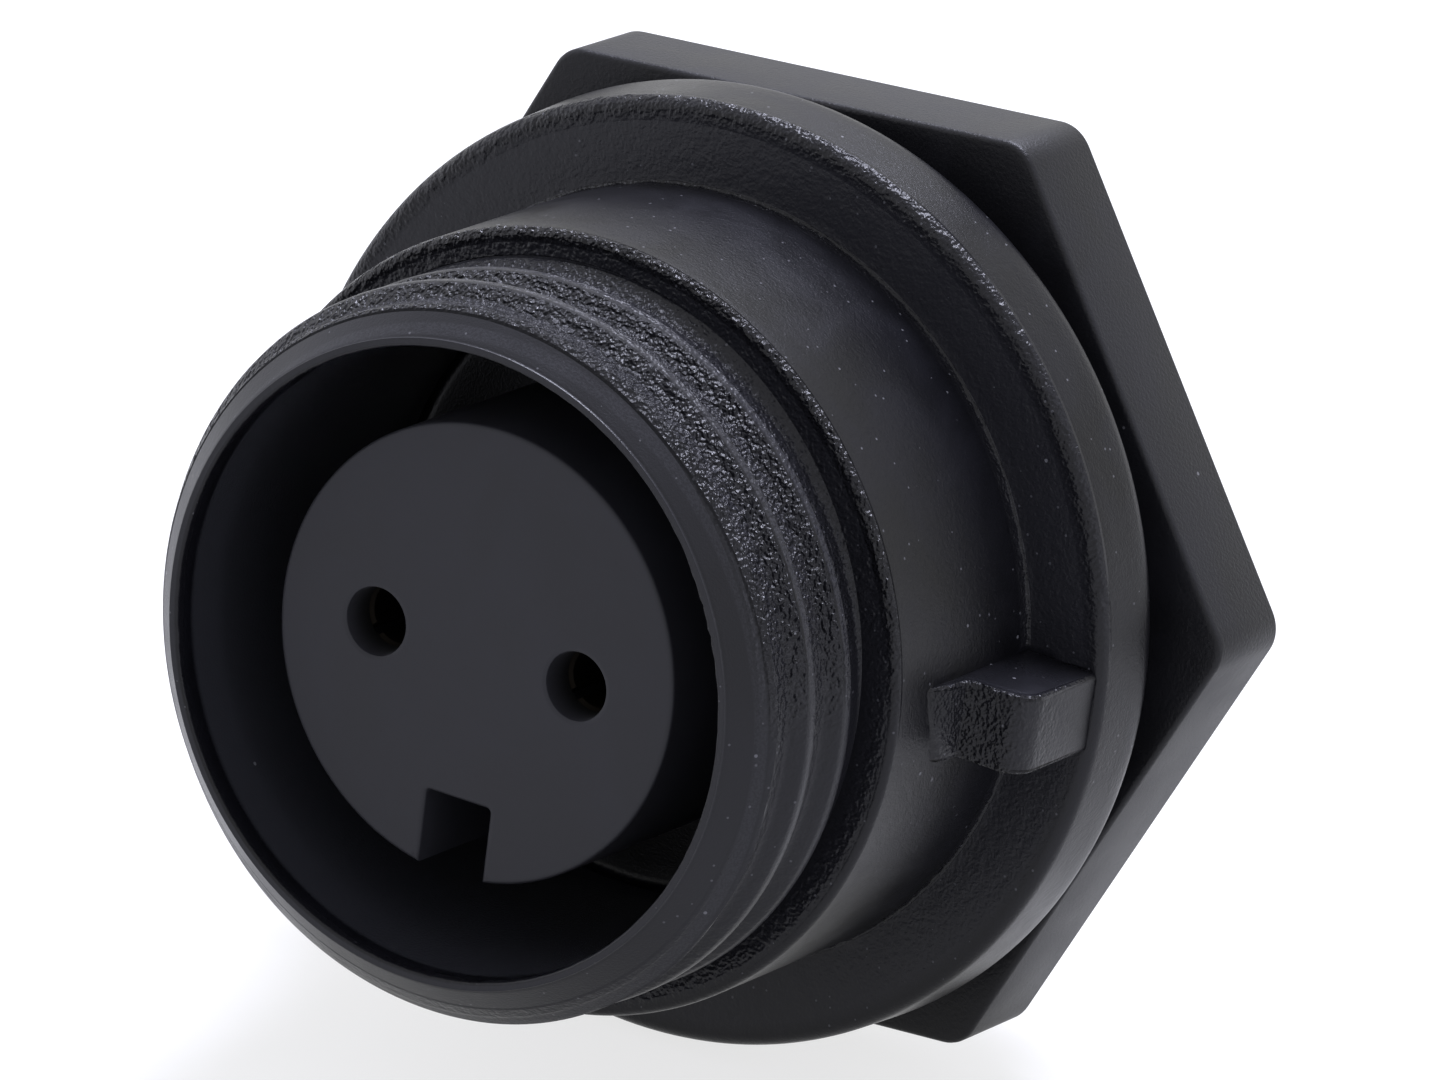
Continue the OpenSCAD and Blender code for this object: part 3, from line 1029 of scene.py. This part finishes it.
class CONNECTOR_OT_insert(bpy.types.Operator):
    """Builds the insulator with its keyway and the stepped ways for the contacts"""

    bl_idname = "connector.insert"
    bl_label = "Contact insert"

    def execute(self, context):
        p, contact = context.scene.connector_insert, context.scene.connector_contact
        dark_from, dark_to = 0.05 * MM, 0.25 * MM
        face, back, flange = extent("contact_insert")
        centres = [socket["pos_m"][0] for socket in SOCKETS]
        bm = bmesh.new()
        skins = [insert_outside(bm, p, face, back, flange)]
        skins += [pin_way(bm, p, contact.shoulder, centre, face, back) for centre in centres]
        cap(bm, [loops[0] for loops in skins])
        cap(bm, [loops[-1] for loops in skins])
        material = plain_plastic(
            "Insert plastic", INSERT_TONES, rough=0.42, grain=20000.0, relief=0.004 * MM, dust_share=0.1
        )
        obj = piece("insert_moulding", bm, material)
        # The pin holes' walls are marked for painted shade, from just behind the face inwards
        deep = []
        for v in obj.data.vertices:
            beside = min(abs(v.co.x - centre) for centre in centres)
            in_hole = math.hypot(beside, v.co.z) < p.hole + HAIR
            deep.append(smooth(dark_from, dark_to, face + v.co.y) if in_hole else 0.0)
        mark(obj, {"deep": deep})
        soften(obj)
        hand_over(obj, "connector", "insert_plastic", "contact_insert")
        return {"FINISHED"}


def contact_body(p, front, seat, end, material):
    """A turned contact with its socket, its pressed shoulder and its solder cup."""
    dims = SOCKETS[0]["dims"]
    socket, depth = dims["r_mm"] * MM, dims["length_mm"] * MM
    ledge = seat + p.shoulder_length
    o = Outline(socket, front - depth + p.drill_tip)
    o.to(socket, front - p.lead_in, steps=2)
    o.to(socket + p.lead_in, front)
    o.to(p.barrel - p.edge, front)
    o.round(p.barrel, front - p.edge, steps=3)
    o.to(p.barrel, ledge, steps=4)
    o.to(p.shoulder - p.edge, ledge)
    o.round(p.shoulder, ledge - p.edge, steps=3)
    o.to(p.shoulder, seat + p.edge, steps=2)
    o.to(p.shoulder - p.edge, seat)
    o.to(p.barrel, seat)
    o.to(p.barrel, end + p.edge, steps=4)
    o.to(p.barrel - p.edge, end)
    o.to(p.cup + p.cup_edge, end)
    o.to(p.cup, end + p.cup_edge)
    o.to(p.cup, end + p.cup_depth - p.cup_tip, steps=3)
    bm = bmesh.new()
    loops = [circle(bm, radius, height, HOLE_POINTS) for radius, height, _ in o.rows]
    bridge(bm, loops)
    fan(bm, bm.verts.new(point(0, 0, front - depth)), loops[0])
    fan(bm, bm.verts.new(point(0, 0, end + p.cup_depth)), loops[-1])
    return piece("socket_contacts", bm, material)


def saw(p, front, material):
    """The blade that slots the tines, set at a slant to the line of contacts."""
    clear = 1 * MM
    bm = bmesh.new()
    bmesh.ops.create_cube(bm, size=1)
    place = Matrix.Translation((0, (p.tine - clear) / 2 - front, 0))
    slant = Matrix.Rotation(-QUARTER / 2, 4, "Y")
    bm.transform(place @ slant @ Matrix.Diagonal((4 * p.barrel, p.tine + clear, p.slot, 1)))
    return piece("Saw", bm, material)


def scoop(p, end, material):
    """The block that opens the solder cup to one side, with a rounded inner end."""
    clear, wide = 1 * MM, 2 * p.barrel
    bend, lip, lift = p.scoop, 1.3 * p.scoop, 0.2 * p.scoop
    open_share = 0.7
    reach = end + open_share * p.cup_depth
    side = [(wide, end - clear), (wide, reach + bend), (lip, reach + bend)]
    side += [(bend * left, reach + lift - bend * gone) for gone, left in quarter(5)]
    side.append((0, end - clear))
    bm = bmesh.new()
    ends = [loop(bm, [Vector((x, -height, out)) for out, height in side]) for x in (-wide, wide)]
    bridge(bm, ends)
    bm.faces.new(ends[0])
    bm.faces.new(ends[1])
    return piece("Scoop", bm, material)


class CONNECTOR_OT_contacts(bpy.types.Operator):
    """Builds the turned socket contacts with their tines, shoulders and solder cups"""

    bl_idname = "connector.contacts"
    bl_label = "Socket contacts"

    def execute(self, context):
        p = context.scene.connector_contact
        front, end, _ = extent("contact_left")
        _, seat, _ = extent("contact_insert")
        material = gold_material()
        obj = contact_body(p, front, seat, end, material)
        combine(obj, saw(p, front, material), "DIFFERENCE")
        combine(obj, scoop(p, end, material), "DIFFERENCE")
        first, second = (Vector(socket["pos_m"]) for socket in SOCKETS)
        row = {"Start": (first.x, 0, 0), "Step": (second.x - first.x, 0, 0)}
        use_tree(obj, pair_tree(), {"Count": len(SOCKETS), **row, "Material": material})
        soften(obj)
        hand_over(obj, "connector", "contact_gold", "contact_left", "contact_right")
        return {"FINISHED"}


def turned_ring(name, rows, material):
    """A closed ring turned from a half section."""
    bm = bmesh.new()
    loops = [circle(bm, radius, height, RING_POINTS) for radius, height, _ in rows]
    bridge(bm, [*loops, loops[0]])
    obj = piece(name, bm, material)
    soften(obj)
    return obj


def seal_rows(inside, outside, front, back):
    """Half section of the seal: round, pressed a little flat between its two seats."""
    count, pressed = 32, 1.12
    rows = []
    for i in range(count):
        a = TURN * i / count
        rise = max(-1.0, min(1.0, pressed * math.sin(a)))
        radius = (inside + outside) / 2 + (outside - inside) / 2 * math.cos(a)
        rows.append((radius, (front + back) / 2 + (front - back) / 2 * rise, ""))
    return rows


def gasket_rows(inside, outside, front, back, edge):
    """Half section of the gasket: flat, with four rounded edges."""
    o = Outline(outside - edge, front)
    o.to(inside + edge, front)
    o.round(inside, front - edge)
    o.to(inside, back + edge)
    o.round(inside + edge, back)
    o.to(outside - edge, back)
    o.round(outside, back + edge)
    o.to(outside, front - edge)
    o.round(outside - edge, front)
    return o.rows[1:]


class CONNECTOR_OT_seals(bpy.types.Operator):
    """Builds the round insert seal and the flat panel gasket"""

    bl_idname = "connector.seals"
    bl_label = "Seal and gasket"

    def execute(self, context):
        p = context.scene.connector_ring
        material = rubber_material()
        front, back, outside = extent("insert_seal")
        inside = context.scene.connector_insert.nose + p.seal_play
        seal = turned_ring("seal_ring", seal_rows(inside, outside, front, back), material)
        hand_over(seal, "connector", "seal_rubber", "insert_seal")
        front, back, outside = extent("panel_gasket")
        rows = gasket_rows(p.gasket_bore, outside, front, back, p.gasket_edge)
        gasket = turned_ring("gasket_ring", rows, material)
        hand_over(gasket, "gasket", "seal_rubber", "panel_gasket")
        return {"FINISHED"}


class CONNECTOR_OT_ring(bpy.types.Operator):
    """Builds the split spring ring behind the insert"""

    bl_idname = "connector.ring"
    bl_label = "Retaining ring"

    def execute(self, context):
        p = context.scene.connector_ring
        front, back, outside = extent("retaining_ring")
        middle = outside - p.width / 2
        open_half = math.asin(p.gap / 2 / middle)
        material = steel_material()
        obj = piece("spring_ring", bmesh.new(), material)
        sizes = {
            "Radius": middle,
            "Width": p.width,
            "Thickness": front - back,
            "Corner": p.corner,
            "Start": open_half - QUARTER,
            "Sweep": TURN - 2 * open_half,
            "Height": (front + back) / 2,
            "Material": material,
        }
        use_tree(obj, ring_tree(), sizes)
        soften(obj)
        hand_over(obj, "connector", "ring_steel", "retaining_ring")
        return {"FINISHED"}


def hexagon(turn, half, corner):
    """Radius of a hexagon with rounded corners, at a turn from one corner."""
    half_side = TURN / 12
    off = abs((turn + half_side) % (2 * half_side) - half_side)
    centre = (half - corner) / math.cos(half_side)
    touch = math.atan2(corner * math.sin(half_side), centre + corner * math.cos(half_side))
    if off < touch:
        return centre * math.cos(off) + math.sqrt(corner**2 - (centre * math.sin(off)) ** 2)
    return half / math.cos(half_side - off)


def nut_rows(p, bore, front, back):
    """Rows of the nut: inner radius, share of the way out to the hexagon, inset there, height, thread."""
    face_margin = 0.4 * MM
    face_shares = (0.0, 0.35, 0.7, 1.0)
    mouth_slope = 1.7
    mouth = bore + p.mouth * mouth_slope
    rows = [(mouth, share, face_margin, front, 0.0) for share in face_shares]
    rows += [(mouth, 1.0, p.edge * left, front - p.edge * gone, 0.0) for gone, left in quarter(4)]
    rows += [(mouth, 1.0, p.edge * gone, back + p.edge * left, 0.0) for gone, left in quarter(4)]
    rows += [(mouth, share, face_margin, back, 0.0) for share in reversed(face_shares)]
    o = Outline(mouth, back)
    o.to(bore, back + p.mouth, steps=4)
    o.to(bore, front - p.mouth, steps=36)
    o.to(mouth, front, steps=4)
    return rows + [(radius, 0.0, 0.0, height, 1.0) for radius, height, _ in o.rows[1:-1]]


def nut_turns(p):
    """Turns around the nut, set closer together at its six corners."""
    sides, side_points, gathered = 6, 48, 0.8
    turns = []
    for i in range(sides * side_points):
        side, t = i // side_points, i % side_points / side_points
        eased = t - gathered * math.sin(TURN * t) / TURN
        turns.append(p.turn + TURN / sides * (side + eased))
    return turns


class CONNECTOR_OT_nut(bpy.types.Operator):
    """Builds the hexagonal panel nut with its inside thread"""

    bl_idname = "connector.nut"
    bl_label = "Panel nut"

    def execute(self, context):
        p, screw = context.scene.connector_nut, context.scene.connector_screw
        crest_share = 0.22
        front, back, _ = extent("hex_nut")
        bore = screw.crest - screw.depth + screw.play
        material = plain_plastic(
            "Nut plastic", NUT_TONES, rough=0.40, grain=11000.0, relief=0.02 * MM, dust_share=0.16
        )
        turns = nut_turns(p)
        edges = [hexagon(turn - p.turn, p.flats / 2, p.corner) for turn in turns]
        bm = bmesh.new()
        loops, band = [], []
        for inner, share, margin, height, thread in nut_rows(p, bore, front, back):
            radii = [inner + (edge - margin - inner) * share for edge in edges]
            loops.append(loop(bm, [point(radius, turn, height) for radius, turn in zip(radii, turns)]))
            band += [thread] * len(turns)
        bridge(bm, [*loops, loops[0]])
        obj = piece("panel_nut", bm, material)
        mark(obj, {"bore": band, "crest": [0.0] * len(band)})
        cut_thread(obj, "bore", screw, bore, screw.pitch / 2, crest_share, -1.0)
        soften(obj)
        hand_over(obj, "nut", "nut_plastic", "hex_nut")
        return {"FINISHED"}


def backdrop_seen(n):
    """1 for the rays that show the white backdrop: from the camera, in a reflection or through glass."""
    rays = n.add("ShaderNodeLightPath").outputs
    mirrored = n.math("MAXIMUM", rays["Is Glossy Ray"], rays["Is Transmission Ray"])
    return n.math("MAXIMUM", rays["Is Camera Ray"], mirrored)


def studio_floor(glow):
    """A pale floor just under the connector, which looks white itself and takes soft shadows."""
    half_width, gap, matt = 2.0, 0.2 * MM, 0.7
    bm = bmesh.new()
    bmesh.ops.create_grid(bm, x_segments=1, y_segments=1, size=half_width)
    low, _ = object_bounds()
    bmesh.ops.translate(bm, verts=bm.verts, vec=(0, 0, low.z - gap))
    material, n, surface = start_material("Floor")
    surface.inputs["Base Color"].default_value = FLOOR_GREY
    surface.inputs["Roughness"].default_value = matt
    surface.inputs["Emission Color"].default_value = WHITE
    n.put(surface.inputs["Emission Strength"], n.times(backdrop_seen(n), glow))
    floor = piece("Floor", bm, material)
    floor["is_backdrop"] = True


def studio_sky(scene, brightness):
    """White surroundings that light the connector with a slightly blue light."""
    world = bpy.data.worlds.new("Studio")
    world.use_nodes = True
    scene.world = world
    n = Nodes(world.node_tree)
    ground = world.node_tree.nodes["Background"]
    seen = backdrop_seen(n)
    n.put(ground.inputs["Color"], n.mix(seen, (*COOL, 1), WHITE))
    n.put(ground.inputs["Strength"], n.math("MAXIMUM", seen, brightness))


def soft_light(name, at, size, power):
    """A square soft light that looks at the origin."""
    lamp = bpy.data.lights.new(name, "AREA")
    lamp.size = size
    lamp.energy = power
    lamp.color = COOL
    obj = bpy.data.objects.new(name, lamp)
    obj.location = at
    obj.rotation_mode = "QUATERNION"
    obj.rotation_quaternion = (-Vector(at)).to_track_quat("-Z", "Y")
    bpy.context.scene.collection.objects.link(obj)
    obj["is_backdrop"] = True


def studio_camera(scene, p):
    """The camera at the photo's angle, looking at a point close to the flange's middle."""
    aim = Vector((-0.73, 0.0, 0.18)) * MM
    lens = bpy.data.cameras.new("Camera")
    lens.lens = p.lens
    lens.sensor_width = 36.0
    lens.sensor_fit = "HORIZONTAL"
    lens.clip_start = 0.01
    lens.clip_end = 20.0
    camera = bpy.data.objects.new("Camera", lens)
    scene.collection.objects.link(camera)
    level = math.cos(p.elevation)
    away = Vector((math.sin(p.azimuth) * level, -math.cos(p.azimuth) * level, math.sin(p.elevation)))
    place = Matrix.Translation(aim + away * p.distance)
    facing = (-away).to_track_quat("-Z", "Y").to_matrix().to_4x4()
    camera.matrix_world = place @ facing @ Matrix.Rotation(p.roll, 4, "Z")
    scene.camera = camera


class CONNECTOR_OT_stage(bpy.types.Operator):
    """Sets the floor, the white surroundings, the lights and the camera"""

    bl_idname = "connector.stage"
    bl_label = "Floor, light and camera"

    def execute(self, context):
        scene, p = context.scene, context.scene.connector_stage
        scene.view_settings.view_transform = "Standard"
        studio_floor(p.glow)
        studio_sky(scene, p.sky)
        soft_light("Light above", at=(-0.05, 0.12, 0.41), size=0.2, power=p.key)
        soft_light("Light right", at=(0.42, -0.02, 0.12), size=0.26, power=p.side)
        soft_light("Light left", at=(-0.4, -0.12, 0.06), size=0.3, power=p.side)
        studio_camera(scene, p)
        return {"FINISHED"}


OPERATORS = (
    CONNECTOR_OT_shell,
    CONNECTOR_OT_insert,
    CONNECTOR_OT_contacts,
    CONNECTOR_OT_seals,
    CONNECTOR_OT_ring,
    CONNECTOR_OT_nut,
    CONNECTOR_OT_stage,
)

GROUPS = {
    "connector_shell": ShellSizes,
    "connector_lug": LugSizes,
    "connector_screw": ScrewSizes,
    "connector_insert": InsertSizes,
    "connector_contact": ContactSizes,
    "connector_ring": RingSizes,
    "connector_nut": NutSizes,
    "connector_stage": StageSettings,
}


class CONNECTOR_PT_panel(bpy.types.Panel):
    """Lists the connector's pieces and their sizes"""

    bl_idname = "CONNECTOR_PT_panel"
    bl_label = "Circular connector"
    bl_space_type = "VIEW_3D"
    bl_region_type = "UI"
    bl_category = "Connector"

    def draw(self, context):
        for operator in OPERATORS:
            self.layout.operator(operator.bl_idname)
        for name, sizes in GROUPS.items():
            box = self.layout.box()
            box.label(text=sizes.__doc__)
            for key in sizes.__annotations__:
                box.prop(getattr(context.scene, name), key)


def register():
    """Makes the sizes, the operators and the panel known to Blender."""
    for name, sizes in GROUPS.items():
        bpy.utils.register_class(sizes)
        setattr(bpy.types.Scene, name, bpy.props.PointerProperty(type=sizes))
    for operator in OPERATORS:
        bpy.utils.register_class(operator)
    bpy.utils.register_class(CONNECTOR_PT_panel)


def unregister():
    """Takes the panel, the operators and the sizes away again."""
    bpy.utils.unregister_class(CONNECTOR_PT_panel)
    for operator in reversed(OPERATORS):
        bpy.utils.unregister_class(operator)
    for name, sizes in reversed(GROUPS.items()):
        delattr(bpy.types.Scene, name)
        bpy.utils.unregister_class(sizes)


def main():
    """Builds every piece and the stage."""
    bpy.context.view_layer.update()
    register()
    for build in ("shell", "insert", "contacts", "seals", "ring", "nut", "stage"):
        getattr(bpy.ops.connector, build)()


if __name__ == "__main__":
    main()
